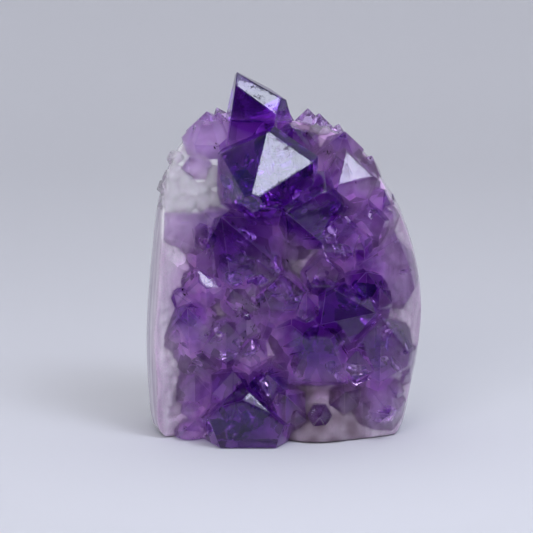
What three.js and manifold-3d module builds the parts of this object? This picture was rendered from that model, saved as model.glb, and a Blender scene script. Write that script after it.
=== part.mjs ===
// Amethyst cluster on a cut base: a slab of milky quartz with polished side walls and a sawn foot,
// its front and top covered with a druse of short, stout amethyst crystals.
// Millimetres, +Z up, the druse faces -Y. The origin is the middle of the bounding box's bottom.

import * as THREE from 'three';
import { ConvexGeometry } from 'three/addons/geometries/ConvexGeometry.js';
import { mergeVertices } from 'three/addons/utils/BufferGeometryUtils.js';
import Module from 'manifold-3d';

const wasm = await Module();
wasm.setup();

// ---------------------------------------------------------------------------------------------
// Driving dimensions
// ---------------------------------------------------------------------------------------------

const GAP = 0.35; // clearance between the milky quartz and the crystals rooted in it
const FACE_TILT = THREE.MathUtils.degToRad(51.8); // quartz terminal faces' normals off the c axis
const WALL_SIDES = 72; // facets round the polished wall
const WALL_ROWS = 26; // facets up the polished wall
const END_SHARE = 0.001; // share of the wall's height that counts as its very end
const FRONT_ROUNDING = 2.0; // superellipse exponent of the wall's front half
const BACK_ROUNDING = 2.9; // the back half is squarer
// Unevenness of the rough back: its height, and its waves across and up the back
const LUMPS = { height: 0.9, across: [5.3, 2.1], up: [0.21, 0.33] };
const SMALLEST_SOLID = 4; // cubic mm: chips below this size are left out of a group

// Outline of the polished wall at rising heights: [height, left, right, front, back]
const WALL = [
  [0, -28.2, 26.2, -28.5, 16.0],
  [2.5, -29.8, 27.4, -30.0, 17.8],
  [10, -30.5, 28.8, -30.0, 19.2],
  [20, -30.8, 30.6, -30.0, 19.8],
  [30, -30.3, 31.0, -30.0, 19.8],
  [40, -29.4, 29.4, -30.0, 19.0],
  [50, -28.2, 26.0, -30.0, 17.4],
];
// Above the wall the milky quartz closes into a rounded shoulder.
const SHOULDER = [
  [56, -26.6, 22.4, -28.0, 15.0],
  [60.5, -25.0, 19.6, -26.0, 12.8],
  [64, -22.8, 16.2, -24.0, 10.6],
  [67, -20.0, 10.5, -20.0, 8.4],
  [69, -16.0, 3.0, -14.0, 5.6],
];
// Above the wall the crystals are free, so what trims them opens out.
const HEADROOM = [
  [58, -27.0, 23.2, -30.0, 17.0],
  [66, -26.5, 22.0, -30.0, 17.0],
  [90, -26.5, 22.0, -30.0, 17.0],
];

// Root surface, where the milky quartz ends and the crystals begin: y as a function of x and z.
const ROOT = {
  front: -9.5, // y of its middle
  leftRim: 5.0, // how far it comes forward along the left wall
  rightRim: 7.0, // how far it falls back along the right wall
  halfWidth: 31,
  topStart: 46, // height where it starts to lean back
  topFall: 0.021, // how fast it leans back above that
  heel: { x: 9, width: 13, height: 9, bulge: 6.5 }, // the bare foot between the lowest crystals
  rimPowers: [6, 4], // how suddenly it turns at the left and right rims
  ripple: 0.6, // unevenness
  rippleWaves: { across: 0.42, start: 0.9, up: 0.37, slantUp: 0.23, slantAcross: 0.3 },
  block: { width: 80, depth: 60, height: 100, below: 5 }, // what stands behind it
  columns: 26, // its facets across
  rows: 32, // its facets up
};

// Normal of the growth faces that look up to the right; a worn tip or rib carries one as well.
const UP_RIGHT = [0.236, -0.834, 0.498];

// ---------------------------------------------------------------------------------------------
// Materials
// ---------------------------------------------------------------------------------------------

const amethyst = new THREE.MeshStandardMaterial({ color: 0x5b3a9a, roughness: 0.08, metalness: 0 });
const paleAmethyst = new THREE.MeshStandardMaterial({ color: 0x9a7cc8, roughness: 0.1, metalness: 0 });
const milkyQuartz = new THREE.MeshStandardMaterial({ color: 0xd8cfe0, roughness: 0.3, metalness: 0 });

// ---------------------------------------------------------------------------------------------
// Solids
// ---------------------------------------------------------------------------------------------

function toSolid(geometry) {
  geometry.deleteAttribute('normal');
  geometry.deleteAttribute('uv');
  const merged = mergeVertices(geometry, 1e-4);
  return new wasm.Manifold(
    new wasm.Mesh({
      numProp: 3,
      vertProperties: new Float32Array(merged.attributes.position.array),
      triVerts: new Uint32Array(merged.index.array),
    }),
  );
}

function toMesh(solid, name, material) {
  const data = solid.getMesh();
  const geometry = new THREE.BufferGeometry();
  geometry.setAttribute('position', new THREE.BufferAttribute(data.vertProperties, 3));
  geometry.setIndex(new THREE.BufferAttribute(data.triVerts, 1));
  geometry.computeVertexNormals();
  const mesh = new THREE.Mesh(geometry, material);
  mesh.name = name;
  return mesh;
}

function joined(solids) {
  return solids.reduce((whole, solid) => whole.add(solid));
}

// The convex solid inside a set of planes { normal, reach }, where normal . p <= reach.
function insidePlanes(planes) {
  const corners = [];
  const cross = new THREE.Vector3();
  for (let i = 0; i < planes.length; i += 1) {
    for (let j = i + 1; j < planes.length; j += 1) {
      for (let k = j + 1; k < planes.length; k += 1) {
        const [a, b, c] = [planes[i], planes[j], planes[k]];
        const volume = a.normal.dot(cross.crossVectors(b.normal, c.normal));
        if (Math.abs(volume) < 1e-6) continue;
        const corner = new THREE.Vector3()
          .addScaledVector(new THREE.Vector3().crossVectors(b.normal, c.normal), a.reach)
          .addScaledVector(new THREE.Vector3().crossVectors(c.normal, a.normal), b.reach)
          .addScaledVector(new THREE.Vector3().crossVectors(a.normal, b.normal), c.reach)
          .divideScalar(volume);
        const isInside = planes.every((plane) => plane.normal.dot(corner) <= plane.reach + 1e-5);
        if (isInside && !corners.some((other) => other.distanceTo(corner) < 1e-3)) corners.push(corner);
      }
    }
  }
  return toSolid(new ConvexGeometry(corners));
}

// One quartz crystal: six terminal faces over a hexagonal prism.
//   tip     where the six faces would meet
//   axis    direction of the c axis, out of the rock
//   radius  from the c axis to a prism face
//   turn    degrees round the c axis
//   length  from the tip to the hidden root
//   minor   how far the three lesser terminal faces stand back, in radii
//   back    extra stand-off of each terminal face
//   wide    each prism face's distance, in radii
//   worn    [[normal], depth] faces that cut the tip off
//   buds    smaller crystals grown on it in the same orientation:
//           [degrees round the axis, distance off it, drop from the tip, radius], all in radii
function crystal(shape) {
  const { tip, radius, turn, length, buds = [] } = shape;
  const { minor = 0, back = [], wide = [], worn = [] } = shape;
  const point = new THREE.Vector3(...tip);
  const axis = new THREE.Vector3(...shape.axis).normalize();
  const side = new THREE.Vector3(0, 0, 1).cross(axis).normalize();
  const up = new THREE.Vector3().crossVectors(axis, side);
  const planes = [];
  const addPlane = (normal, distance) => {
    planes.push({ normal, reach: normal.dot(point) + distance });
  };
  for (let face = 0; face < 6; face += 1) {
    const angle = THREE.MathUtils.degToRad(turn + face * 60);
    const outward = new THREE.Vector3()
      .addScaledVector(side, Math.cos(angle))
      .addScaledVector(up, Math.sin(angle));
    const terminal = new THREE.Vector3()
      .addScaledVector(axis, Math.cos(FACE_TILT))
      .addScaledVector(outward, Math.sin(FACE_TILT));
    const standOff = (face % 2 ? minor * radius : 0) + (back[face] ?? 0);
    addPlane(terminal, standOff);
    addPlane(outward, radius * (wide[face] ?? 1));
  }
  addPlane(axis.clone().negate(), length);
  for (const [normal, depth] of worn) {
    addPlane(new THREE.Vector3(...normal).normalize(), -depth);
  }
  const grownOn = buds.map(([degrees, off, drop, size]) => {
    const angle = THREE.MathUtils.degToRad(degrees);
    const budTip = point
      .clone()
      .addScaledVector(side, off * radius * Math.cos(angle))
      .addScaledVector(up, off * radius * Math.sin(angle))
      .addScaledVector(axis, -drop * radius);
    const budLength = length - drop * radius;
    const budShape = { tip: budTip.toArray(), axis: shape.axis, turn, length: budLength };
    return crystal({ ...budShape, radius: size * radius });
  });
  return joined([insidePlanes(planes), ...grownOn]);
}

// A closed wall through outline sections; grow moves it outward.
function walled(sections, grow = 0) {
  const spread = sections.map(([height, left, right]) => new THREE.Vector3(left, right, height));
  const depth = sections.map(([height, , , front, back]) => new THREE.Vector3(front, back, height));
  const spreadCurve = new THREE.CatmullRomCurve3(spread, false, 'catmullrom', 0.5);
  const depthCurve = new THREE.CatmullRomCurve3(depth, false, 'catmullrom', 0.5);
  const geometry = new THREE.CylinderGeometry(1, 1, 1, WALL_SIDES, WALL_ROWS);
  const position = geometry.attributes.position;
  for (let i = 0; i < position.count; i += 1) {
    const x = position.getX(i);
    const y = -position.getZ(i);
    const t = position.getY(i) + 0.5;
    const [left, right, height] = spreadCurve.getPoint(t).toArray();
    const [front, back] = depthCurve.getPoint(t).toArray();
    const power = 2 / (y < 0 ? FRONT_ROUNDING : BACK_ROUNDING);
    const halfWidth = (right - left) / 2 + grow;
    const fineWave = Math.sin(LUMPS.across[0] * x + LUMPS.up[0] * height);
    const broadWave = Math.sin(LUMPS.up[1] * height + LUMPS.across[1] * x);
    const lumps = LUMPS.height * fineWave * broadWave;
    const halfDepth = y < 0 ? -front + grow : back + lumps + grow;
    const lift = t < END_SHARE ? -grow : t > 1 - END_SHARE ? grow : 0;
    position.setXYZ(
      i,
      (left + right) / 2 + halfWidth * Math.sign(x) * Math.abs(x) ** power,
      halfDepth * Math.sign(y) * Math.abs(y) ** power,
      height + lift,
    );
  }
  return toSolid(geometry);
}

function rootDepth(x, z) {
  const lean = Math.max(0, z - ROOT.topStart);
  const toSide = Math.min(1, Math.abs(x) / ROOT.halfWidth);
  const [leftPower, rightPower] = ROOT.rimPowers;
  const rim = x < 0 ? -ROOT.leftRim * toSide ** leftPower : ROOT.rightRim * toSide ** rightPower;
  const heel = Math.exp(-(((x - ROOT.heel.x) / ROOT.heel.width) ** 2) - (z / ROOT.heel.height) ** 2);
  const wave = ROOT.rippleWaves;
  const crossed = Math.sin(wave.across * x + wave.start) * Math.sin(wave.up * z);
  const ripple = crossed + Math.sin(wave.slantUp * z - wave.slantAcross * x);
  return (
    ROOT.front +
    rim +
    ROOT.topFall * lean * lean -
    ROOT.heel.bulge * heel +
    ROOT.ripple * ripple
  );
}

// Everything behind the root surface; grow moves that surface to the front.
function behindRoots(grow = 0) {
  const { width, depth, height, below } = ROOT.block;
  const geometry = new THREE.BoxGeometry(width, depth, height, ROOT.columns, 1, ROOT.rows);
  geometry.translate(0, 0, height / 2 - below);
  const position = geometry.attributes.position;
  for (let i = 0; i < position.count; i += 1) {
    if (position.getY(i) < 0) {
      position.setY(i, rootDepth(position.getX(i), position.getZ(i)) - grow);
    } else {
      position.setY(i, depth);
    }
  }
  return toSolid(geometry);
}

// ---------------------------------------------------------------------------------------------
// The crystals, group by group. Crystals of one group have grown into each other.
// ---------------------------------------------------------------------------------------------

const GROUPS = {
  druse: [
    // the crown, with its broad face to the front
    {
      tip: [-10.3, -5, 80.4], axis: [-0.42, -1, 1.61], radius: 8.8, turn: -65, length: 15.5, minor: 0.9,
      back: [0, 0, 0, 0, 0, -7.9], wide: [1, 1, 0.8, 0.4, 0.6, 1],
      worn: [[UP_RIGHT, 1.1], [[-0.97, -0.1, 0.16], 0.2], [[0.1, -0.2, 0.97], 0.6]],
    },
    // the biggest termination
    {
      tip: [-7.5, -26, 54.5], axis: [-0.28, -1, -0.22], radius: 10.6, turn: 55, length: 17.5,
      wide: [1, 0.95, 1.05, 0.95, 0.9, 1], worn: [[[-0.15, -0.8, -0.55], 2.2]],
    },
    {
      tip: [2, -10, 69], axis: [0.1, -1, 0.9], radius: 4.8, turn: -60, length: 14,
      buds: [[20, 0.8, 0.7, 0.6]],
    },
    // upper right
    {
      tip: [13.5, -8, 68], axis: [0.2, -1, 1.4], radius: 4.4, turn: -90, length: 14,
      buds: [[200, 0.8, 0.6, 0.6]],
    },
    {
      tip: [16, -15, 61.5], axis: [0.3, -1, 0.6], radius: 5.8, turn: -80, length: 16, minor: 0.5,
      worn: [[UP_RIGHT, 3.2]], buds: [[-20, 0.8, 0.75, 0.5]],
    },
    { tip: [11.5, -13, 60.5], axis: [-0.1, -1, 1], radius: 4.4, turn: -70, length: 14, minor: 0.5 },
    {
      tip: [22, -11, 55.5], axis: [0.5, -1, 0.8], radius: 5, turn: -60, length: 15,
      buds: [[-60, 0.6, 0.6, 0.6]],
    },
    {
      tip: [24, -11, 50.5], axis: [0.4, -1, 0.3], radius: 3.6, turn: -30, length: 13,
      buds: [[60, 0.8, 0.6, 0.6]],
    },
    { tip: [19.5, -7, 62.5], axis: [0.6, -1, 1.4], radius: 4.4, turn: -75, length: 14 },
    { tip: [30, -7, 36], axis: [1.2, -1, 0.3], radius: 6, turn: -20, length: 14 },
    { tip: [31, -7, 14], axis: [1.4, -1, 0], radius: 7, turn: 10, length: 15 },
    { tip: [18.5, -15, 52.5], axis: [0, -1, 1], radius: 4.2, turn: -90, length: 15, minor: 0.5 },
    // middle
    {
      tip: [-13.5, -20, 51], axis: [-0.45, -1, 0.8], radius: 9.5, turn: -55, length: 21,
      buds: [[-40, 0.85, 1.0, 0.4], [190, 0.75, 0.8, 0.45]],
    },
    {
      tip: [0.5, -22, 52], axis: [-0.45, -1, 0.1], radius: 8.5, turn: -24, length: 20, minor: 0.35,
      back: [0, 0, 0, 0, 0, -3],
    },
    {
      tip: [12, -18, 50.5], axis: [-0.1, -1, 0.9], radius: 5, turn: -90, length: 16, minor: 0.6,
      buds: [[-20, 0.8, 0.6, 0.55]],
    },
    { tip: [8.5, -17, 41.5], axis: [0, -1, 1], radius: 4.2, turn: -90, length: 14, minor: 0.6 },
    {
      tip: [0, -18, 38], axis: [0, -1, 1], radius: 5, turn: -90, length: 15, minor: 0.5,
      buds: [[210, 0.8, 0.6, 0.5]],
    },
    { tip: [5, -17, 33.5], axis: [0, -1, 0.9], radius: 3.6, turn: -60, length: 14 },
    { tip: [3, -13.5, 46], axis: [0.1, -1, 0.5], radius: 4, turn: -30, length: 10 },
    // right
    {
      tip: [25, -13, 45], axis: [0.35, -1, 0.9], radius: 8.8, turn: -100, length: 17, minor: 0.6,
      buds: [[140, 0.7, 0.7, 0.5]],
    },
    {
      tip: [18, -18, 38.5], axis: [0.1, -1, 0.9], radius: 5.6, turn: -60, length: 17,
      buds: [[-30, 0.7, 0.7, 0.5]],
    },
    { tip: [20, -21, 30], axis: [0.6, -1, 0.1], radius: 7.5, turn: -13, length: 19 },
    {
      tip: [21.5, -17, 28], axis: [0.15, -1, 0.9], radius: 8.5, turn: -60, length: 21,
      buds: [[-15, 0.8, 1.0, 0.5]],
    },
    // left
    { tip: [-11, -17, 34.5], axis: [-0.3, -1, 0.6], radius: 4.4, turn: -55, length: 14 },
    {
      tip: [-17, -17, 37.5], axis: [-0.1, -1, 0.4], radius: 5, turn: 60, length: 15,
      worn: [[UP_RIGHT, 3.0]], buds: [[170, 0.75, 0.55, 0.55]],
    },
    {
      tip: [-21, -17, 30.5], axis: [-0.2, -1, 0.8], radius: 6.5, turn: -60, length: 17,
      buds: [[230, 0.7, 0.7, 0.5]],
    },
    { tip: [-24, -13, 33], axis: [-0.5, -1, 0.5], radius: 4.6, turn: 60, length: 13 },
    {
      tip: [-29.5, -14, 47.5], axis: [-1.2, -1, 0.1], radius: 8, turn: 60, length: 18,
      worn: [[[0, 0, 1], -3]],
    },
    {
      tip: [-17, -14, 51], axis: [-0.3, -1, 0.6], radius: 4.6, turn: 60, length: 14,
      buds: [[170, 0.8, 0.6, 0.6]],
    },
    { tip: [-15.5, -16, 43.5], axis: [0, -1, 0.8], radius: 3.6, turn: -60, length: 13 },
    { tip: [-20.5, -13, 41], axis: [-0.3, -1, 0.3], radius: 4, turn: -20, length: 10 },
    { tip: [-6, -16, 36.5], axis: [0.2, -1, 0.8], radius: 4.4, turn: -60, length: 14 },
    {
      tip: [-12.5, -18, 27.5], axis: [0, -1, 0.8], radius: 5.6, turn: -60, length: 17,
      buds: [[-20, 0.7, 0.6, 0.55]],
    },
    {
      tip: [-8, -17, 29], axis: [0.1, -1, 0.9], radius: 3.4, turn: -60, length: 13,
      worn: [[UP_RIGHT, 0.6]],
    },
    { tip: [-7, -17, 23.5], axis: [0.1, -1, 0.9], radius: 3.8, turn: -60, length: 14 },
    { tip: [-3, -14.5, 28], axis: [0.1, -1, 0.4], radius: 4.2, turn: -20, length: 10 },
    {
      tip: [-22.5, -16, 22], axis: [-0.4, -1, 0.5], radius: 6, turn: -60, length: 16,
      buds: [[-70, 0.7, 0.6, 0.5]],
    },
    // low down
    {
      tip: [8, -22.5, 29.5], axis: [0, -1, 0.5], radius: 11, turn: -90, length: 24,
      worn: [[[0, -0.55, 0.83], 6]], buds: [[172, 0.75, 1.1, 0.4], [8, 0.8, 1.0, 0.35]],
    },
    {
      tip: [-3.5, -20, 16], axis: [-0.1, -1, 0.5], radius: 5.5, turn: -60, length: 16,
      buds: [[60, 0.7, 0.5, 0.55]],
    },
    { tip: [16, -18, 21], axis: [0, -1, 0.8], radius: 4, turn: -60, length: 14 },
    { tip: [13.5, -17, 11.5], axis: [0, -1, 0.5], radius: 3.4, turn: -60, length: 9 },
    { tip: [-11, -18.5, 16.5], axis: [0.1, -1, 0.9], radius: 4.4, turn: -60, length: 15 },
    { tip: [-19.5, -15.5, 15], axis: [0.1, -1, 0.8], radius: 3.8, turn: -60, length: 13 },
    {
      tip: [-9, -21, 13.5], axis: [0, -1, 1.3], radius: 10.5, turn: -90, length: 26, minor: 0.8,
      wide: [1, 1, 1, 1, 1, 0.8], worn: [[UP_RIGHT, 1.4], [[-0.22, -0.6, 0.77], 2.2]],
    },
    {
      tip: [0.5, -20, 11.5], axis: [0, -1, 0.6], radius: 4.4, turn: -60, length: 14,
      buds: [[-50, 0.8, 0.7, 0.5]],
    },
    {
      tip: [23.5, -17, 6.5], axis: [0.3, -1, 0], radius: 6.2, turn: -90, length: 14,
      buds: [[50, 0.7, 0.6, 0.45], [200, 0.6, 0.6, 0.4]],
    },
    { tip: [17.5, -15.5, 8.5], axis: [-0.1, -1, 0.4], radius: 4.4, turn: -60, length: 11 },
    // top left
    {
      tip: [-16.8, -7, 72.3], axis: [-0.15, -1, 1.5], radius: 4.6, turn: -90, length: 18,
      buds: [[200, 0.7, 0.7, 0.6]],
    },
    { tip: [-14.2, -5.5, 72], axis: [0.1, -1, 1.6], radius: 3.6, turn: -90, length: 16 },
    { tip: [-20.5, -9, 62.5], axis: [-0.4, -1, 0.9], radius: 3.2, turn: -70, length: 11 },
    // lower left
    { tip: [-26, -12, 11], axis: [-0.4, -1, 0.6], radius: 4.8, turn: -60, length: 14 },
    { tip: [-20.5, -15, 8.5], axis: [-0.2, -1, 0.4], radius: 2.9, turn: -60, length: 10 },
    { tip: [-22, -15.5, 2.5], axis: [-0.3, -1, 0.3], radius: 4, turn: -30, length: 11 },
  ],
  summit_crystals: [
    { tip: [5.5, 2, 72], axis: [0.05, -1, 2.4], radius: 3.4, turn: -90, length: 14 },
    { tip: [8, 1, 71], axis: [0.1, -1, 2], radius: 2.8, turn: -90, length: 12 },
    { tip: [12.5, 2.5, 68.5], axis: [0.7, -1, 3], radius: 3, turn: -50, length: 10 },
  ],
  crest_crystals: [
    {
      tip: [-4, 12.4, 73.5], axis: [0.1, 0.45, 1], radius: 2.9, turn: -80, length: 10,
      buds: [[80, 0.8, 0.6, 0.6]],
    },
    { tip: [-15, 8.5, 71.5], axis: [-0.4, 0.2, 1], radius: 2.4, turn: -60, length: 9 },
    { tip: [1.6, 9.5, 70], axis: [0.2, 0.2, 1], radius: 2.3, turn: -70, length: 8 },
    { tip: [-9.5, 13.5, 69], axis: [-0.1, 0.6, 1], radius: 2, turn: -50, length: 8 },
  ],
  lone_crystal: [{ tip: [8, -19, 6.3], axis: [0, -1, 0.1], radius: 2.4, turn: -90, length: 9 }],
};

// ---------------------------------------------------------------------------------------------
// Assembly
// ---------------------------------------------------------------------------------------------

const matrix = walled([...WALL, ...SHOULDER]).intersect(behindRoots());
const roots = walled([...WALL, ...SHOULDER], GAP).intersect(behindRoots(GAP));
const trim = walled([...WALL, ...HEADROOM]);

const cluster = new THREE.Group();
cluster.add(toMesh(matrix, 'matrix', milkyQuartz));
for (const [name, crystals] of Object.entries(GROUPS)) {
  const grown = joined(crystals.map(crystal)).intersect(trim).subtract(roots);
  const pieces = grown.decompose().filter((piece) => piece.volume() > SMALLEST_SOLID);
  const material = name === 'druse' ? amethyst : paleAmethyst;
  pieces.forEach((piece, index) => {
    const label = pieces.length > 1 ? `${name}_${index + 1}` : name;
    cluster.add(toMesh(piece, label, material));
  });
}

const bounds = new THREE.Box3().setFromObject(cluster);
const middle = bounds.getCenter(new THREE.Vector3());
cluster.position.set(-middle.x, -middle.y, -bounds.min.z);

export default cluster;
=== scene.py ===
import math

import bmesh
import bpy
import numpy as np
from mathutils import Euler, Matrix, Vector, noise
from mathutils.bvhtree import BVHTree
from mathutils.kdtree import KDTree


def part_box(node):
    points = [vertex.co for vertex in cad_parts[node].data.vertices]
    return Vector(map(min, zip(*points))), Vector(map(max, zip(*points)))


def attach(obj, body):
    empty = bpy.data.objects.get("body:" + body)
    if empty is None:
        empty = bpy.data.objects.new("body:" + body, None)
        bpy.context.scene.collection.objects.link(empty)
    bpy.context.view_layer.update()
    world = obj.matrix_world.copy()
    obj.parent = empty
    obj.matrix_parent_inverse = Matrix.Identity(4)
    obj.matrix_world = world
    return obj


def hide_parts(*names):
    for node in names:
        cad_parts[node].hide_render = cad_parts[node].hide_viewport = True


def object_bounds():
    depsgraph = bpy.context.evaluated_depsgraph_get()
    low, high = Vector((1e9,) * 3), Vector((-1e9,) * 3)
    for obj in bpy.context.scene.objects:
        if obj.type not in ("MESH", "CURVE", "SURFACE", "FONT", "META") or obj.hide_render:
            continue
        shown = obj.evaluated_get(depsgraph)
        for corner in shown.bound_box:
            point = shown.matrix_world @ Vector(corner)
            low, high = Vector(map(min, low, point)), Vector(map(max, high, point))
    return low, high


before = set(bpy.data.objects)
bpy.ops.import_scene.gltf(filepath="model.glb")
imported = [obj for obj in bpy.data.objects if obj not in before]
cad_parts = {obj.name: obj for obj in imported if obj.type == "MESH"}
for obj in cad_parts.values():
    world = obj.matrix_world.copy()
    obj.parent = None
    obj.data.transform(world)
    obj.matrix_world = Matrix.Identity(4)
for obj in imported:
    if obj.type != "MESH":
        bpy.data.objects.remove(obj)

CAD_LOW, CAD_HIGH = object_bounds()

MM = 0.001
SEED = 7
rng = np.random.default_rng(SEED)

# ---------------------------------------------------------------------------------------------
# Small helpers
# ---------------------------------------------------------------------------------------------

FORWARD = Vector((0, -1, 0))  # towards the camera
BACKWARD = Vector((0, 1, 0))
RAY_START = CAD_LOW.y - 50 * MM  # rays from the front start here


def new_object(name, data):
    made = bpy.data.objects.new(name, data)
    bpy.context.scene.collection.objects.link(made)
    return made


def mesh_from(name, bm):
    """A mesh made of a bmesh, which is used up."""
    mesh = bpy.data.meshes.new(name)
    bm.to_mesh(mesh)
    bm.free()
    return mesh


def shade_smooth(mesh):
    for polygon in mesh.polygons:
        polygon.use_smooth = True


def clamp(value, highest=1.0):
    return min(highest, max(0.0, value))


def smooth(t):
    t = clamp(t)
    return t * t * (3 - 2 * t)


def rise(value, low, high):
    """0 below the low value, 1 above the high one, a soft step between."""
    return smooth((value - low) / (high - low))


def fall(value, low, high):
    """1 below the low value, 0 above the high one, a soft step between."""
    return smooth((high - value) / (high - low))


def copied(node):
    """A bmesh copy of a CAD node's shape, its doubled corners merged."""
    bm = bmesh.new()
    bm.from_mesh(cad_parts[node].data)
    bmesh.ops.remove_doubles(bm, verts=bm.verts, dist=2e-6)
    return bm


def triangulate(bm):
    """Cuts every face with more than three corners into triangles."""
    bmesh.ops.triangulate(bm, faces=[face for face in bm.faces if len(face.verts) > 3])


def subdivide(bm, step, rounds=7):
    """Cuts edges longer than the step until none is left."""
    for _ in range(rounds):
        long_edges = [edge for edge in bm.edges if edge.calc_length() > step]
        if not long_edges:
            break
        bmesh.ops.subdivide_edges(bm, edges=long_edges, cuts=1)
        triangulate(bm)


def from_front(tree, x, z):
    """What a level ray from the front meets: the place, its normal, the face and the distance."""
    return tree.ray_cast(Vector((x, RAY_START, z)), BACKWARD)


def random_in(low, high):
    """A random place in a box."""
    return Vector([rng.uniform(low[k], high[k]) for k in range(3)])


def random_plane():
    """A random normal and two directions square to it and to each other."""
    normal = Vector(rng.normal(size=3)).normalized()
    across = normal.orthogonal().normalized()
    return normal, across, normal.cross(across)


# ---------------------------------------------------------------------------------------------
# Camera
# ---------------------------------------------------------------------------------------------

CAMERA_ELEVATION = math.radians(10)
CAMERA_DISTANCE = 0.560
CAMERA_LENS = 168.6
CAMERA_SENSOR = 36
AIM = Vector((-3.835, 2.365, 36.5)) * MM

camera_data = bpy.data.cameras.new("camera")
camera_data.lens = CAMERA_LENS
camera_data.sensor_width = CAMERA_SENSOR
camera_data.clip_start = 0.01
camera_data.clip_end = 20
camera = new_object("camera", camera_data)
look = Vector((0, math.cos(CAMERA_ELEVATION), -math.sin(CAMERA_ELEVATION)))
camera.location = AIM - look * CAMERA_DISTANCE
camera.rotation_euler = look.to_track_quat("-Z", "Y").to_euler()
bpy.context.scene.camera = camera

# ---------------------------------------------------------------------------------------------
# Materials
# ---------------------------------------------------------------------------------------------


class Nodes:
    """A material and short ways to add nodes to it, most of which return the new node's output."""

    def __init__(self, name):
        self.material = bpy.data.materials.new(name)
        self.material.use_nodes = True
        self.tree = self.material.node_tree
        self.shader = self.tree.nodes["Principled BSDF"]
        self.output = self.tree.nodes["Material Output"]

    def add(self, kind, **settings):
        node = self.tree.nodes.new(kind)
        for key, value in settings.items():
            if key in node.inputs:
                node.inputs[key].default_value = value
            else:
                setattr(node, key, value)
        return node

    def feed(self, value, socket):
        """Links an output to a socket, or gives the socket a plain value."""
        if isinstance(value, bpy.types.NodeSocket):
            self.tree.links.new(value, socket)
        else:
            socket.default_value = value

    def surface(self, **settings):
        """Sets the shader's sockets, named with _ for each space."""
        for name, value in settings.items():
            self.feed(value, self.shader.inputs[name.replace("_", " ")])

    def attribute(self, name):
        return self.add("ShaderNodeAttribute", attribute_name=name).outputs["Fac"]

    def position(self):
        return self.add("ShaderNodeNewGeometry").outputs["Position"]

    def part(self, axis):
        split = self.add("ShaderNodeSeparateXYZ")
        self.feed(self.position(), split.inputs["Vector"])
        return split.outputs[axis]

    def scaled(self, vector, scale):
        node = self.add("ShaderNodeMapping", Scale=scale)
        self.feed(vector, node.inputs["Vector"])
        return node.outputs["Vector"]

    def noise(self, scale, detail, roughness=0.5, vector=None):
        """Noise, across the piece's own box where no vector is given."""
        node = self.add("ShaderNodeTexNoise", Scale=scale, Detail=detail, Roughness=roughness)
        if vector is not None:
            self.feed(vector, node.inputs["Vector"])
        return node.outputs["Fac"]

    def math(self, operation, *operands):
        node = self.add("ShaderNodeMath", operation=operation)
        for operand, socket in zip(operands, node.inputs):
            self.feed(operand, socket)
        return node.outputs["Value"]

    def ranged(self, value, source=(0.0, 1.0), target=(0.0, 1.0)):
        node = self.add("ShaderNodeMapRange")
        names = ("From Min", "From Max", "To Min", "To Max")
        for name, end in zip(names, (*source, *target)):
            node.inputs[name].default_value = end
        self.feed(value, node.inputs["Value"])
        return node.outputs["Result"]

    def mix(self, factor, first, second, **settings):
        node = self.add("ShaderNodeMix", data_type="RGBA", **settings)
        for name, value in (("Factor", factor), ("A", first), ("B", second)):
            self.feed(value, node.inputs[name])
        return node.outputs["Result"]

    def ramp(self, value, stops):
        node = self.add("ShaderNodeValToRGB")
        elements = node.color_ramp.elements
        while len(elements) < len(stops):
            elements.new(0.5)
        for element, (position, color) in zip(elements, stops):
            element.position = position
            element.color = (*color, 1)
        self.feed(value, node.inputs["Fac"])
        return node.outputs["Color"]

    def bump(self, height, strength, distance, over=None):
        node = self.add("ShaderNodeBump", Distance=distance)
        self.feed(strength, node.inputs["Strength"])
        self.feed(height, node.inputs["Height"])
        if over is not None:
            self.feed(over, node.inputs["Normal"])
        return node.outputs["Normal"]


QUARTZ_IOR = 1.544
LET_THROUGH = (0.53, 0.0, 0.86, 1.0)  # green is absorbed most and blue least
PALEST = (0.95, 0.83, 1.0)
DEEPEST = 1.6  # how deep the tone may go where a crystal is darkest


def glass(name, density, deep):
    """Clear quartz with colour zoning, growth lines and uneven gloss.

    'tone' is 0 where the crystal is pale, 1 / DEEPEST where it has the deep colour and 1 where it
    is darkest; on the worn ridges it is made paler, a painted highlight. 'along' and 'across' are
    millimetres in each face's plane, 'face_key' is a number of the plane's own, and 'worn' is 1 on
    the worn edges.
    """
    m = Nodes(name)
    absorbing = m.add("ShaderNodeVolumeAbsorption", Color=LET_THROUGH, Density=density)
    m.feed(absorbing.outputs["Volume"], m.output.inputs["Volume"])
    darkest = tuple(0.5 * channel for channel in deep)
    tint = m.ramp(m.attribute("tone"), [(0.0, PALEST), (1 / DEEPEST, deep), (1.0, darkest)])

    place = m.add("ShaderNodeCombineXYZ")
    for axis, attribute in (("X", "along"), ("Y", "across"), ("Z", "face_key")):
        m.feed(m.attribute(attribute), place.inputs[axis])
    growth = m.noise(1.0, 3.0, 0.6, m.scaled(place.outputs["Vector"], (2.6, 0.22, 9.0)))
    hillocks = m.noise(1.0, 2.0, 0.45, m.scaled(place.outputs["Vector"], (0.33, 0.27, 5.0)))
    fine = m.bump(growth, 0.6, 0.04 * MM)
    gloss = m.ranged(growth, (0.35, 0.75), (0.01, 0.05))
    frost = m.math("MULTIPLY", m.attribute("worn"), 0.12)
    m.surface(
        Transmission_Weight=1.0,
        IOR=QUARTZ_IOR,
        Base_Color=tint,
        Normal=m.bump(hillocks, 0.5, 0.24 * MM, over=fine),
        Roughness=m.math("ADD", gloss, frost),
    )
    return m


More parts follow.
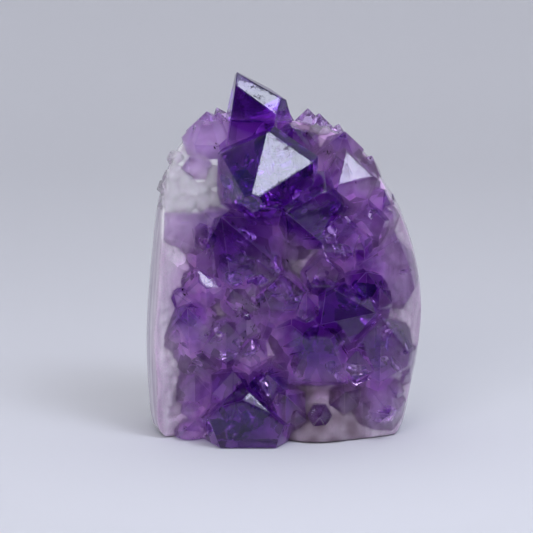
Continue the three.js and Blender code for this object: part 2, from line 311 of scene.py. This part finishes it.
BAND_DEPTH = 36.0  # millimetres
BANDS = [  # the milky quartz's colours, by the share of that depth behind the crystals' roots
    (0.00, (0.78, 0.48, 0.76)), (0.10, (0.43, 0.35, 0.46)), (0.22, (0.38, 0.33, 0.42)),
    (0.50, (0.44, 0.40, 0.48)), (0.62, (0.40, 0.37, 0.44)), (0.66, (0.72, 0.68, 0.77)),
    (0.72, (0.56, 0.53, 0.62)), (0.78, (0.68, 0.64, 0.71)), (0.90, (0.48, 0.45, 0.49)),
]
CRUST = [  # the rind's colours
    (0.34, (0.16, 0.14, 0.12)), (0.46, (0.30, 0.27, 0.23)), (0.54, (0.42, 0.40, 0.37)),
    (0.66, (0.55, 0.50, 0.50)),
]
VEIN_WHITE = (0.90, 0.86, 0.92, 1)
BLUSH_VIOLET = (0.86, 0.52, 0.99, 1)
# A beige for the real staining low down, and painted shade on the top.
STAIN_AND_SHADE_BROWN = (0.20, 0.14, 0.185, 1)
PURE_WHITE = (0.93, 0.90, 0.94, 1)


def rock_quartz(name):
    """Milky quartz.

    'depth' is how far a point lies behind the crystals' roots, in millimetres. The others go from
    0 to 1: 'rough' where the surface is unpolished, 'blush' and 'grain' close to the amethyst,
    'stain' where it turns beige, for real low down and as painted shade on the top, 'pure' where
    it is bare and white, and 'rind' on the back.
    """
    m = Nodes(name)
    where = m.position()
    rind = m.attribute("rind")

    clouded = m.math("MULTIPLY_ADD", m.noise(160.0, 5.0, 0.6), 5.0, m.attribute("depth"))
    bands = m.ramp(m.ranged(clouded, (0.0, BAND_DEPTH)), BANDS)
    upright = m.noise(1.0, 4.0, 0.55, m.scaled(where, (420.0, 420.0, 55.0)))
    veins = m.ranged(upright, (0.35, 0.70), (0.0, 0.5))
    fresh = m.math("SUBTRACT", 1.0, rind)
    veined = m.mix(m.math("MULTIPLY", fresh, veins), bands, VEIN_WHITE)
    blushing = m.mix(m.attribute("blush"), veined, BLUSH_VIOLET)

    columns = m.add("ShaderNodeTexVoronoi", Scale=270.0)
    m.feed(where, columns.inputs["Vector"])
    own = m.add("ShaderNodeSeparateColor")
    m.feed(columns.outputs["Color"], own.inputs["Color"])
    level = m.ranged(own.outputs["Red"], target=(0.45, 1.55))
    grained = m.mix(m.attribute("grain"), blushing, level, blend_type="MULTIPLY")

    # Turns beige with real staining low down, and on the top as painted shade.
    stained_and_shaded = m.mix(m.attribute("stain_and_shade"), grained, STAIN_AND_SHADE_BROWN)
    whitened = m.mix(m.attribute("pure"), stained_and_shaded, PURE_WHITE)
    crust = m.ramp(m.noise(260.0, 8.0, 0.78, where), CRUST)

    rough = m.attribute("rough")
    bump_strength = m.math("MULTIPLY_ADD", rough, 0.55, 0.04)
    m.surface(
        Base_Color=m.mix(m.math("MULTIPLY", rind, 0.85), whitened, crust),
        Roughness=m.ranged(rough, target=(0.16, 0.62)),
        Normal=m.bump(m.noise(1400.0, 4.0, 0.65), bump_strength, 0.2 * MM),
        Subsurface_Weight=0.8,
        Subsurface_Radius=(1.0, 0.85, 1.0),
        Subsurface_Scale=1.0 * MM,
    )
    return m


def grainy(name, scale, detail, strength, **settings):
    """A plain material with a fine grain."""
    m = Nodes(name)
    m.surface(Normal=m.bump(m.noise(scale, detail), strength, 0.1 * MM), **settings)
    return m


amethyst = glass("amethyst", 50.0, (0.18, 0.025, 0.43))
pale = glass("pale_amethyst", 60.0, (0.90, 0.84, 0.97))
milky = rock_quartz("milky_quartz")
veil = grainy(
    "veil_flecks", 900.0, 2.0, 0.3,
    Base_Color=(0.80, 0.72, 0.90, 1), Roughness=0.5, Subsurface_Weight=0.3, Subsurface_Scale=1.0 * MM,
)
iron = grainy("dark_specks", 2500.0, 3.0, 0.4, Base_Color=(0.012, 0.006, 0.01, 1), Roughness=0.45)
frosty = grainy(
    "milky_points", 900.0, 3.0, 0.3,
    Base_Color=(0.95, 0.92, 0.97, 1), Transmission_Weight=0.85, IOR=QUARTZ_IOR, Roughness=0.18,
)

# ---------------------------------------------------------------------------------------------
# Colour patches, shared by the milky quartz and the crystals
# ---------------------------------------------------------------------------------------------

COLOUR_PATCHES = [  # where the colour is deeper or paler: (x, height, radius, amount), millimetres
    (-6, 79, 10, 1.3), (-12, 60, 6, 0.45), (0, 57, 5, 0.25), (-5, 50, 6, 0.3), (7, 56, 5, 0.4),
    (-15, 49, 4, 0.4), (24, 54, 5, 0.5), (12, 70, 4, 0.5), (17, 39, 6, 0.55), (-21, 31, 5, 0.5),
    (6, 25, 8, 0.5), (25, 20, 6, 0.3), (-8, 9, 7, 0.4), (22, 8, 5, 0.35), (7.8, 6, 4, 0.8),
    # The patch at (5, 70) is painted shade: it deepens the crystals' colour at the top, where the lamps
    # light most.
    (-17, 72, 5, -0.4), (-9, 69, 6, 0.45), (5, 70, 6, 0.5), (-19, 55, 5, -0.5),
    (-25, 44, 6, -0.4), (2, 44, 4, -0.35), (0, 36, 5, -0.7), (-7, 30, 5, -0.45),
    (-14, 25, 5, -0.4), (-25, 16, 7, -0.4), (18, 58, 4, -0.4), (26, 41, 6, -0.4),
    (21, 26, 3, -0.5), (-22, 36, 4, 0.3), (-20, 20, 4, 0.35), (9, 34, 4, 0.3),
]
PATCH_CORE, PATCH_END = 0.45, 1.35  # a patch fades between these, in its own radii


def patch_tone(co):
    """How much deeper the patches make the colour at a place."""
    total = 0.0
    for x, height, radius, amount in COLOUR_PATCHES:
        away = math.hypot(co.x / MM - x, co.z / MM - height)
        total += amount * fall(away, PATCH_CORE * radius, PATCH_END * radius)
    return total


# ---------------------------------------------------------------------------------------------
# Milky quartz
# ---------------------------------------------------------------------------------------------

MATRIX_STEP = 1.1 * MM
MATRIX_SHARP = math.radians(40)
ROOT_EDGE = math.radians(22)  # the root surface ends at edges sharper than this
ROOT_PUSH = 0.9 * MM  # how far the milky quartz reaches into the crystals' roots
ROOT_PUSH_AT_RIM = 0.5 * MM
ROOT_PUSH_AT_FLOOR = 0.4 * MM
ROOT_BUMP = 0.9 * MM  # the unevenness of the root surface
ROOT_BUMP_SIZE = 2.3 * MM
ROOT_SPLAY = 0.37  # the share of the push that goes inward at the side walls
BACK_SWELL_SIZE = 9 * MM
BACK_KNOB_SIZE = 3.4 * MM
BACK_GRAIN_SIZE = 1.8 * MM


def root_patch(bm):
    """The root surface's faces: all that smooth edges join to the one in the middle of the front."""
    middle = (CAD_LOW.x + CAD_HIGH.x) / 2
    seed = bm.faces[from_front(BVHTree.FromBMesh(bm), middle, CAD_HIGH.z * 0.45)[2]]
    patch, queue = {seed}, [seed]
    while queue:
        face = queue.pop()
        for edge in face.edges:
            if len(edge.link_faces) == 2 and edge.calc_face_angle(0) < ROOT_EDGE:
                other = edge.link_faces[0] if edge.link_faces[1] is face else edge.link_faces[1]
                if other not in patch:
                    patch.add(other)
                    queue.append(other)
    return patch


def knob(co, size, sharpness):
    """1 in the middle of a rounded knob, 0 between the knobs."""
    nearest = noise.voronoi(co / size)[0][0]
    return max(0.0, 1.0 - sharpness * nearest)


def root_place(v, rim, rim_tree, half_width):
    """Where a corner of the root surface goes: forward, into the crystals' roots."""
    from_rim = rim_tree.find(v.co)[2]
    height = v.co.z / MM
    peak = knob(v.co, ROOT_BUMP_SIZE, 1.5) - 0.3
    inside = rise(from_rim / MM, 0, 3)
    lower = 1 - 0.75 * rise(height, 44, 54)
    push = ROOT_PUSH_AT_RIM + inside * lower * (ROOT_PUSH - ROOT_PUSH_AT_RIM + ROOT_BUMP * peak)
    if height < 0.1:
        push = 0.0 if v in rim else ROOT_PUSH_AT_FLOOR
    side = math.copysign(abs(v.co.x / half_width) ** 4, v.co.x)
    return Vector((v.co.x - side * ROOT_SPLAY * push, v.co.y - push, v.co.z))


def wall_place(v):
    """Where any other corner goes: the back is lumpy, the polished walls and the base are not."""
    share = rise(v.co.y / MM, 9, 15) * rise(v.co.z / MM, 0.2, 2.2)
    swell = smooth(noise.noise(v.co / BACK_SWELL_SIZE) * 0.5 + 0.5)
    lump = knob(v.co, BACK_KNOB_SIZE, 1.2) - 0.85
    grain = noise.fractal(v.co / BACK_GRAIN_SIZE, 1.0, 2.0, 3)
    return v.co + v.normal * (share * (-0.9 * swell + 0.85 * lump + 0.22 * grain) * MM)


def rock_tints(co, depth):
    """The milky quartz's attributes at a place, by name. The depth is in millimetres."""
    x, y, z = (value / MM for value in co)
    shoulder = fall(x, -16, -8) * rise(z, 42, 48)
    foot = fall(z, 7, 12) * rise(x, -1, 2)
    sides = rise(abs(x + 0.5), 20, 26)
    covered = 1 - max(shoulder, foot, sides)
    near_root = fall(depth, 0.2, 2.6)
    blotch = noise.noise(co / (6 * MM))
    stain_and_shade_noise = noise.noise(co / (3.1 * MM) + Vector((9, 2, 5)))
    low_down = rise(x, -1, 2) * fall(x, 16, 20) * fall(z, 10, 15)
    # The top is made darker: painted shade, holding down the strong light from above.
    painted_top_shade = 0.6 * rise(z, 56, 62) * rise(x, -8, -4)
    ragged = 5 * noise.noise(co / (5 * MM))
    return {
        "depth": depth,
        "rough": rise(y, 8, 16),
        "blush": near_root * covered * clamp(0.55 + 0.5 * blotch + 1.2 * patch_tone(co)),
        "stain_and_shade": fall(depth, 2.2, 3.8) * (low_down + painted_top_shade) * clamp(0.8 + 0.5 * stain_and_shade_noise),
        "pure": shoulder * near_root,
        "grain": near_root * covered,
        "rind": rise(y + ragged, 12, 16) * rise(z, 0.3, 0.8),
    }


bm = copied("matrix")
root_layer = bm.faces.layers.int.new("root")
bm.faces.ensure_lookup_table()
patch = root_patch(bm)
for face in bm.faces:
    face[root_layer] = 1 if face in patch else 0
root_tree = BVHTree.FromPolygons(
    [v.co.copy() for v in bm.verts],
    [[v.index for v in face.verts] for face in bm.faces if face in patch],
)
subdivide(bm, MATRIX_STEP)
rim = {v for v in bm.verts if len({face[root_layer] for face in v.link_faces}) == 2}
rim_tree = KDTree(len(rim))
for i, v in enumerate(rim):
    rim_tree.insert(v.co, i)
rim_tree.balance()
bm.normal_update()
matrix_low, matrix_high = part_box("matrix")
half_width = (matrix_high.x - matrix_low.x) / 2
places = []
for v in bm.verts:
    is_root = any(face[root_layer] for face in v.link_faces)
    places.append(root_place(v, rim, rim_tree, half_width) if is_root else wall_place(v))
for v, place in zip(bm.verts, places):
    v.co = place
bm.normal_update()
mesh = mesh_from("matrix_rock", bm)
mesh.validate()
root_flags = [entry.value for entry in mesh.attributes["root"].data]
tints = [rock_tints(v.co, root_tree.find_nearest(v.co)[3] / MM) for v in mesh.vertices]
for polygon, flag in zip(mesh.polygons, root_flags):
    if flag:
        for corner in polygon.vertices:
            tints[corner]["rough"] = 1.0
for name in tints[0]:
    values = [tint[name] for tint in tints]
    mesh.attributes.new(name, "FLOAT", "POINT").data.foreach_set("value", values)
shade_smooth(mesh)
mesh.set_sharp_from_angle(angle=MATRIX_SHARP)
mesh.materials.append(milky.material)
rock = new_object("matrix_rock", mesh)
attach(rock, "root")
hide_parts("matrix")

# ---------------------------------------------------------------------------------------------
# Crystals
# ---------------------------------------------------------------------------------------------

EDGE_WEAR = 0.11 * MM
EDGE_ANGLE = math.radians(18)  # ridges sharper than this are worn and get a painted highlight, and creases are paler
EDGE_LEAST = 1.0 * MM  # shorter ridges stay as they are
FLAT_ANGLE = math.radians(0.7)  # faces at less than this are one face
CRYSTAL_SHARP = math.radians(12)
C_AXIS = Vector((-0.05, -0.87, 0.5)).normalized()  # growth lines run square to it
PROBE = Vector((0.9713, 0.1871, 0.1467)).normalized()

CRACK_SPOKES, CRACK_RINGS = 14, 4
CRACK_HALF = 0.035 * MM  # half a crack's thickness in its middle
CRACK_STEP = 0.2 * MM
CRACK_CLEAR = 0.45 * MM  # what stays whole between a crack and the crystal's faces
CRACK_LEAST = 0.5 * MM

PLANES = 997  # how many planes have a number of their own
PLANE_SALT = 3  # another number deals the planes other shares of the colour
PLANE_STEP = 0.4 * MM
PLACE_STEP = 0.001 * MM


def inside_by(tree, point):
    """How far a point lies inside a closed shape; negative outside."""
    distance = tree.find_nearest(point)[3]
    crossings, start = 0, point
    while True:
        place = tree.ray_cast(start, PROBE)[0]
        if place is None:
            break
        crossings += 1
        start = place + PROBE * 1e-6
    return distance if crossings % 2 else -distance


def crack_spoke(tree, centre, normal, ray, radius):
    """One spoke of a crack: its upper and lower places, from the middle outward."""
    reach = radius * (0.8 + 0.35 * noise.noise(centre / MM + ray * 1.7))
    limit = 0.0
    while limit < reach and inside_by(tree, centre + ray * (limit + CRACK_STEP)) > CRACK_CLEAR:
        limit += CRACK_STEP
    upper, lower = [], []
    for ring in range(1, CRACK_RINGS + 1):
        share = ring / CRACK_RINGS
        spot = centre + ray * (limit * share)
        wave = normal * (noise.noise(spot / (2.4 * MM)) * 0.5 * MM * share)
        half = normal * ((1 - share**2) * CRACK_HALF)
        upper.append(spot + wave + half)
        lower.append(spot + wave - half)
    return upper, lower


def add_crack(bm, centre, normal, spokes):
    """A closed lens with its faces turned inward, since it holds air."""
    lift = normal * CRACK_HALF
    upper_centre, lower_centre = bm.verts.new(centre + lift), bm.verts.new(centre - lift)
    rim = [bm.verts.new(upper[-1]) for upper, _ in spokes]
    above, below = (
        [[bm.verts.new(spot) for spot in spoke[side][:-1]] + [rim[k]] for k, spoke in enumerate(spokes)]
        for side in (0, 1)
    )
    for k in range(CRACK_SPOKES):
        n = (k + 1) % CRACK_SPOKES
        bm.faces.new((upper_centre, above[n][0], above[k][0]))
        bm.faces.new((lower_centre, below[k][0], below[n][0]))
        for ring in range(CRACK_RINGS - 1):
            out = ring + 1
            bm.faces.new((above[k][ring], above[n][ring], above[n][out], above[k][out]))
            bm.faces.new((below[n][ring], below[k][ring], below[k][out], below[n][out]))


def add_cracks(bm, tree, low, high, count, largest):
    """Healed cracks: thin air-filled lenses sealed in the crystal."""
    ceiling = high.z - 12 * MM  # the crown stays clear
    made, tries = 0, 0
    while made < count and tries < count * 60:
        tries += 1
        centre = random_in(low, high)
        if centre.z > ceiling or inside_by(tree, centre) < 1.3 * MM:
            continue
        if root_tree.find_nearest(centre)[3] < 1.5 * MM:
            continue
        normal, across, upward = random_plane()
        radius = rng.uniform(0.3, 1.0) * largest
        spokes = []
        for k in range(CRACK_SPOKES):
            angle = 2 * math.pi * k / CRACK_SPOKES
            ray = across * math.cos(angle) + upward * math.sin(angle)
            spokes.append(crack_spoke(tree, centre, normal, ray, radius))
        if min((upper[-1] - centre).length for upper, _ in spokes) < CRACK_LEAST:
            continue
        add_crack(bm, centre, normal, spokes)
        made += 1


def face_place(face):
    """What the faces are sorted by: their places, then their directions."""
    return [round(value / PLACE_STEP) for value in face.calc_center_median()] + list(face.normal)


def plane_key(face):
    """A number below PLANES that says which plane a face lies in, whatever the faces' order."""
    steps = [round(100 * share) for share in face.normal]
    steps.append(round(face.normal.dot(face.calc_center_median()) / PLANE_STEP))
    key = PLANE_SALT
    for step in steps:
        key = (key * 211 + step) % 1000003
    return key % PLANES


class Facets:
    """A crystal shape's flat faces, as they are before the shape is cut finer."""

    def __init__(self, bm, edge_layer):
        bm.verts.index_update()
        faces = sorted(bm.faces, key=face_place)  # triangulating leaves them in no fixed order
        self.tree = BVHTree.FromPolygons(
            [v.co.copy() for v in bm.verts], [[v.index for v in face.verts] for face in faces]
        )
        self.normals = [face.normal.copy() for face in faces]
        self.keys = [plane_key(face) for face in faces]
        self.worn = [face[edge_layer] for face in faces]
        self.shares = rng.random(PLANES)  # each plane's share of the colour

    def axes(self, index):
        """The directions across and along a face's growth lines."""
        normal = self.normals[index]
        across = normal.cross(C_AXIS)
        if across.length < 0.1:
            across = normal.cross(Vector((1, 0, 0)))
        across.normalize()
        return across, across.cross(normal)


def worn_shape(node):
    """A node's crystals as triangles, their ridges worn, and the layer that marks the wear."""
    bm = copied(node)
    every = dict(verts=bm.verts, edges=bm.edges)
    bmesh.ops.dissolve_limit(bm, angle_limit=FLAT_ANGLE, use_dissolve_boundaries=False, **every)
    edge_layer = bm.faces.layers.int.new("edge")
    ridges = [
        edge for edge in bm.edges
        if edge.calc_length() > EDGE_LEAST and edge.calc_face_angle_signed(0) > EDGE_ANGLE
    ]
    rounded = bmesh.ops.bevel(
        bm, geom=ridges, offset=EDGE_WEAR, offset_type="OFFSET", segments=2, profile=0.5,
        affect="EDGES", clamp_overlap=False,
    )
    for face in rounded["faces"]:
        face[edge_layer] = 1
    bmesh.ops.triangulate(bm, faces=bm.faces)
    return bm, edge_layer


def paint_crystals(mesh, facets, creased):
    """The attributes that the glass materials read, at every corner of each face."""
    zones = []
    for i, v in enumerate(mesh.vertices):
        reach = root_tree.find_nearest(v.co)[3] / MM
        cloud = noise.noise(v.co / (7 * MM) + Vector((3, 1, 8)))
        zone = 0.85 * rise(reach, 2, 12) - 0.02 + 0.22 * cloud + patch_tone(v.co)
        zones.append(zone - (0.30 if i in creased else 0.0))
    names = ("along", "across", "face_key", "tone", "worn")
    values = {name: np.zeros(len(mesh.loops)) for name in names}
    for polygon in mesh.polygons:
        index = facets.tree.find_nearest(polygon.center)[2]
        across, along = facets.axes(index)
        key, worn = facets.keys[index], facets.worn[index]
        share = 1.1 * (facets.shares[key] - 0.5)
        for loop in polygon.loop_indices:
            corner = mesh.loops[loop].vertex_index
            co = mesh.vertices[corner].co
            # Worn ridge faces get a paler tone: a painted highlight along the ridges.
            tone = (zones[corner] + share) * (0.7 if worn else 1.0)
            values["along"][loop] = co.dot(along) / MM
            values["across"][loop] = co.dot(across) / MM
            values["face_key"][loop] = key * 1.37
            values["tone"][loop] = clamp(tone, DEEPEST) / DEEPEST
            values["worn"][loop] = worn
    for name in names:
        mesh.attributes.new(name, "FLOAT", "CORNER").data.foreach_set("value", values[name])


def crystal_piece(node, step, relief, material, cracks=0, largest=0.0):
    """A node's crystals: worn ridges, faces a little uneven, cracks, and the colour's attributes."""
    bm, edge_layer = worn_shape(node)
    facets = Facets(bm, edge_layer)
    subdivide(bm, step)
    bm.normal_update()
    bm.verts.index_update()
    creased = set()
    for edge in bm.edges:
        if edge.calc_face_angle_signed(0) < -EDGE_ANGLE:
            creased.update(v.index for v in edge.verts)
    for v in bm.verts:
        v.co += v.normal * (noise.fractal(v.co / (5.5 * MM), 1.0, 2.1, 2) * relief)
    if cracks:
        add_cracks(bm, facets.tree, *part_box(node), cracks, largest)
        triangulate(bm)
    bm.normal_update()
    mesh = mesh_from(node + "_crystals", bm)
    mesh.validate()
    paint_crystals(mesh, facets, creased)
    shade_smooth(mesh)
    mesh.set_sharp_from_angle(angle=CRYSTAL_SHARP)
    mesh.materials.append(material.material)
    piece = new_object(node + "_crystals", mesh)
    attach(piece, "root")
    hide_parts(node)


crystal_piece("druse", 0.95 * MM, 0.04 * MM, amethyst, cracks=150, largest=4.0 * MM)
for node in ("summit_crystals", "crest_crystals_1", "crest_crystals_2"):
    crystal_piece(node, 0.5 * MM, 0.03 * MM, pale)
crystal_piece("lone_crystal", 0.4 * MM, 0.03 * MM, amethyst)

# ---------------------------------------------------------------------------------------------
# What is sealed in the crystals: veils of pale flecks, and dark goethite
# ---------------------------------------------------------------------------------------------

VEILS = 60
VEIL_FLECKS = 60
SEALED = 0.3 * MM  # flecks lie at least this deep below the faces
SPECKS = [  # groups of goethite needles: (x, height, size), millimetres
    (2.2, 73, 0.35), (3.1, 68.5, 0.4), (9.3, 63.5, 0.4), (0, 39.8, 0.45), (-22.7, 41, 0.45),
    (-21.4, 32.5, 0.4), (-15, 65, 0.35), (-5.5, 31.2, 0.45), (-8.6, 31.2, 0.35), (-9.6, 28.5, 0.5),
    (-7.3, 25.2, 0.5), (-5.3, 23.6, 0.45), (-9, 22.4, 0.5), (-18.3, 20, 0.4), (22.5, 18, 0.35),
]
SPECKS_IN_GROUP = 5
LOOSE_SPECKS = 90


def solid_from(name, bm, material):
    bmesh.ops.recalc_face_normals(bm, faces=bm.faces)
    mesh = mesh_from(name, bm)
    mesh.materials.append(material.material)
    piece = new_object(name, mesh)
    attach(piece, "root")


def add_fleck(bm, centre, size, stretch=(1, 1, 1)):
    """A small closed double pyramid, turned at random."""
    turn = Euler(rng.uniform(0, math.tau, 3)).to_matrix()
    axes = [turn @ Vector(a) * size * s for a, s in zip(((1, 0, 0), (0, 1, 0), (0, 0, 1)), stretch)]
    tips = [bm.verts.new(centre + sign * axis) for axis in axes for sign in (1, -1)]
    for i in (0, 1):
        for j in (2, 3):
            for k in (4, 5):
                bm.faces.new((tips[i], tips[j], tips[k]))


def add_veil(bm, tree, centre):
    """A wavy sheet of flecks."""
    normal, across, upward = random_plane()
    spread = rng.uniform(1.2, 3.2) * MM
    for _ in range(VEIL_FLECKS):
        u, v = rng.normal(size=2) * 0.5
        spot = centre + across * u * spread + upward * v * spread * 0.5
        spot += normal * noise.noise(spot / (1.5 * MM)) * 0.5 * MM
        size = rng.uniform(0.03, 0.09) * MM
        if inside_by(tree, spot) > SEALED:
            add_fleck(bm, spot, size)


druse_bm = copied("druse")
bmesh.ops.triangulate(druse_bm, faces=druse_bm.faces)
druse_tree = BVHTree.FromBMesh(druse_bm)
druse_bm.free()
druse_low, druse_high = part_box("druse")

bm = bmesh.new()
made = 0
while made < VEILS:
    centre = random_in(druse_low, druse_high)
    if inside_by(druse_tree, centre) < 0.8 * MM or centre.z > 68 * MM:
        continue
    add_veil(bm, druse_tree, centre)
    made += 1
solid_from("veil_flecks", bm, veil)

bm = bmesh.new()
for x, height, size in SPECKS:
    place = from_front(druse_tree, x * MM, height * MM)[0]
    if place is None:
        continue
    for _ in range(SPECKS_IN_GROUP):
        spot = place + Vector(rng.normal(size=3)) * 0.5 * MM
        long = rng.uniform(1.0, 2.6)
        add_fleck(bm, spot + BACKWARD * 0.5 * MM, rng.uniform(0.3, 0.75) * size * MM, (long, 0.5, 0.8))
for _ in range(LOOSE_SPECKS):
    x = rng.uniform(druse_low.x, druse_high.x)
    place = from_front(druse_tree, x, rng.uniform(3, 66) * MM)[0]
    if place is not None:
        spot = place + BACKWARD * rng.uniform(0.5, 4.0) * MM
        if inside_by(druse_tree, spot) > SEALED:
            add_fleck(bm, spot, rng.uniform(0.06, 0.16) * MM, (rng.uniform(1, 3), 0.6, 0.7))
solid_from("dark_specks", bm, iron)

# ---------------------------------------------------------------------------------------------
# Small frosted points, grown together, on the bare left shoulder and the top
# ---------------------------------------------------------------------------------------------

POINTS = 90
POINT_TRIES = 4000
POINTS_X = (-27, 21)  # millimetres
POINTS_Z = (47, 70)
POINT_GRAIN = 0.21 * MM  # the cell size at which the points are joined


def add_point(bm, foot, axis, radius, tall):
    """One small hexagonal quartz point."""
    side = axis.orthogonal().normalized()
    up = axis.cross(side)
    turn = rng.uniform(0, math.tau)
    rays = []
    for k in range(6):
        angle = turn + k * math.pi / 3
        rays.append((side * math.cos(angle) + up * math.sin(angle)) * radius * (1 if k % 2 else 0.85))
    low, high = (
        [bm.verts.new(foot + axis * tall * level + ray) for ray in rays] for level in (-0.6, 0.35)
    )
    tip = bm.verts.new(foot + axis * tall + side * radius * rng.uniform(-0.2, 0.2))
    bm.faces.new(low[::-1])
    for k in range(6):
        n = (k + 1) % 6
        bm.faces.new((low[k], low[n], high[n], high[k]))
        bm.faces.new((high[k], high[n], tip))


def grown_together(bm):
    """The union of closed shapes that overlap, as triangles, a little worn."""
    apart = new_object("points_apart", mesh_from("points_apart", bm))
    remesh = apart.modifiers.new("grown", "REMESH")
    remesh.mode = "VOXEL"
    remesh.voxel_size = POINT_GRAIN
    bpy.context.view_layer.update()
    joined = bmesh.new()
    joined.from_object(apart, bpy.context.evaluated_depsgraph_get())
    bpy.data.objects.remove(apart)
    bmesh.ops.triangulate(joined, faces=joined.faces)
    every_way = dict(use_axis_x=True, use_axis_y=True, use_axis_z=True)
    bmesh.ops.smooth_vert(joined, verts=joined.verts, factor=0.5, **every_way)
    for face in joined.faces:
        face.smooth = True
    return joined


rock_bm = bmesh.new()
rock_bm.from_mesh(rock.data)
rock_tree = BVHTree.FromBMesh(rock_bm)
rock_bm.free()
bm = bmesh.new()
placed, tries = 0, 0
while placed < POINTS and tries < POINT_TRIES:
    tries += 1
    x, z = rng.uniform(*POINTS_X) * MM, rng.uniform(*POINTS_Z) * MM
    if x > -5 * MM and z < 57 * MM:
        continue
    place, normal = from_front(rock_tree, x, z)[:2]
    if place is None or place.y > 8 * MM:
        continue
    if inside_by(druse_tree, place + FORWARD * 0.8 * MM) > -0.9 * MM:
        continue
    axis = (normal + Vector(rng.normal(size=3)) * 0.25 + Vector((0, 0, 0.3))).normalized()
    radius = rng.uniform(0.9, 2.2) * MM
    add_point(bm, place, axis, radius, radius * rng.uniform(0.5, 0.85))
    placed += 1
bmesh.ops.recalc_face_normals(bm, faces=bm.faces)
solid_from("milky_points", grown_together(bm), frosty)

# ---------------------------------------------------------------------------------------------
# Floor, backdrop and light
# ---------------------------------------------------------------------------------------------

BOWL_FLAT = 0.45
BOWL_CURVE = 0.55
BOWL_TOP = 1.3
BOWL_DROP = 0.0003  # the floor lies this far below the sawn base
BOWL_STEPS = 12
BOWL_SEGMENTS = 64

SCREEN_RADIUS = 0.62
SCREEN_FOOT = 0.085  # the radius at which it stands on the floor
SCREEN_START, SCREEN_TURN, SCREEN_STEPS = -190, 200, 32  # degrees around, and columns
SCREEN_TILTS = range(3, 79, 5)  # degrees

LIGHT_AIM = Vector((0, 0, 0.04))
SUN_SIDE = Vector((0.409, -0.527, 0.746)).normalized()
FILL_SIDE = Vector((-0.35, -0.85, 0.40)).normalized()


def around(radius, angle, height):
    return (radius * math.cos(angle), radius * math.sin(angle), height)


def bowl_mesh():
    """A round floor that curves up into a wall."""
    profile = [(0.1, 0.0), (0.25, 0.0), (BOWL_FLAT, 0.0)]
    for step in range(1, BOWL_STEPS + 1):
        angle = math.radians(90 * step / BOWL_STEPS)
        profile.append((BOWL_FLAT + BOWL_CURVE * math.sin(angle), BOWL_CURVE * (1 - math.cos(angle))))
    profile.append((BOWL_FLAT + BOWL_CURVE, BOWL_TOP))
    bm = bmesh.new()
    turns = [2 * math.pi * k / BOWL_SEGMENTS for k in range(BOWL_SEGMENTS)]
    rings = [[bm.verts.new(around(radius, turn, height)) for turn in turns] for radius, height in profile]
    centre = bm.verts.new((0, 0, 0))
    for k in range(BOWL_SEGMENTS):
        n = (k + 1) % BOWL_SEGMENTS
        bm.faces.new((centre, rings[0][k], rings[0][n]))
        for low, high in zip(rings, rings[1:]):
            bm.faces.new((low[k], high[k], high[n], low[n]))
    bmesh.ops.recalc_face_normals(bm, faces=bm.faces)
    return mesh_from("studio_bowl", bm)


def screen_mesh():
    """A part of a dome, open at the back and at the top."""
    bm = bmesh.new()
    columns = []
    for step in range(SCREEN_STEPS + 1):
        angle = math.radians(SCREEN_START + SCREEN_TURN * step / SCREEN_STEPS)
        column = [bm.verts.new(around(SCREEN_FOOT, angle, 0.001))]
        for tilt in SCREEN_TILTS:
            height = math.radians(tilt)
            reach = SCREEN_RADIUS * math.cos(height)
            column.append(bm.verts.new(around(reach, angle, SCREEN_RADIUS * math.sin(height))))
        columns.append(column)
    for left, right in zip(columns, columns[1:]):
        for k in range(len(left) - 1):
            bm.faces.new((left[k], right[k], right[k + 1], left[k + 1]))
    return mesh_from("studio_screen", bm)


def softbox(name, direction, distance, size, power, color):
    data = bpy.data.lights.new(name, "AREA")
    data.shape = "SQUARE"
    data.size = size
    data.energy = power
    data.color = color
    lamp = new_object(name, data)
    lamp.location = LIGHT_AIM + direction * distance
    lamp.rotation_euler = (-direction).to_track_quat("-Z", "Y").to_euler()
    return lamp


# The paper darkens as it climbs: painted shade, as the light falls off up the wall.
paper = Nodes("studio_paper")
climb = paper.ranged(paper.part("Z"), (0.02, 0.45))
paper_color = paper.mix(climb, (0.745, 0.75, 0.79, 1), (0.545, 0.54, 0.56, 1))
paper.surface(Base_Color=paper_color, Roughness=0.9)
mesh = bowl_mesh()
shade_smooth(mesh)
mesh.materials.append(paper.material)
bowl = new_object("studio_bowl", mesh)
bowl.location.z = -BOWL_DROP

world = bpy.data.worlds.new("world")
bpy.context.scene.world = world
world.use_nodes = True
background = world.node_tree.nodes["Background"]
background.inputs["Color"].default_value = (0.93, 0.95, 1.0, 1)
background.inputs["Strength"].default_value = 0.96

softbox("key_core", SUN_SIDE, 0.545, 0.11, 0.40, (0.78, 0.83, 1.0))
softbox("key_halo", SUN_SIDE, 0.55, 0.30, 0.85, (0.82, 0.86, 1.0))
fill = softbox("fill", FILL_SIDE, 0.75, 0.4, 1.7, (0.97, 0.96, 1.0))
fill.visible_glossy = False

# A dark screen, bluish at its sides, stands for the unlit room. Only reflections see it.
dark = Nodes("studio_screen")
aside = dark.ranged(dark.math("ABSOLUTE", dark.part("X")), (0.30, 0.50))
dark.surface(Base_Color=dark.mix(aside, (0.04, 0.03, 0.05, 1), (0.45, 0.45, 0.85, 1)), Roughness=1.0)
mesh = screen_mesh()
mesh.materials.append(dark.material)
screen = new_object("studio_screen", mesh)
screen.visible_camera = False
screen.visible_shadow = False
screen.visible_diffuse = False
screen.visible_transmission = False

scene = bpy.context.scene
scene.view_settings.view_transform = "Standard"
scene.view_settings.look = "None"
scene.cycles.max_bounces = 20
scene.cycles.transmission_bounces = 20
scene.cycles.glossy_bounces = 8
scene.cycles.diffuse_bounces = 4
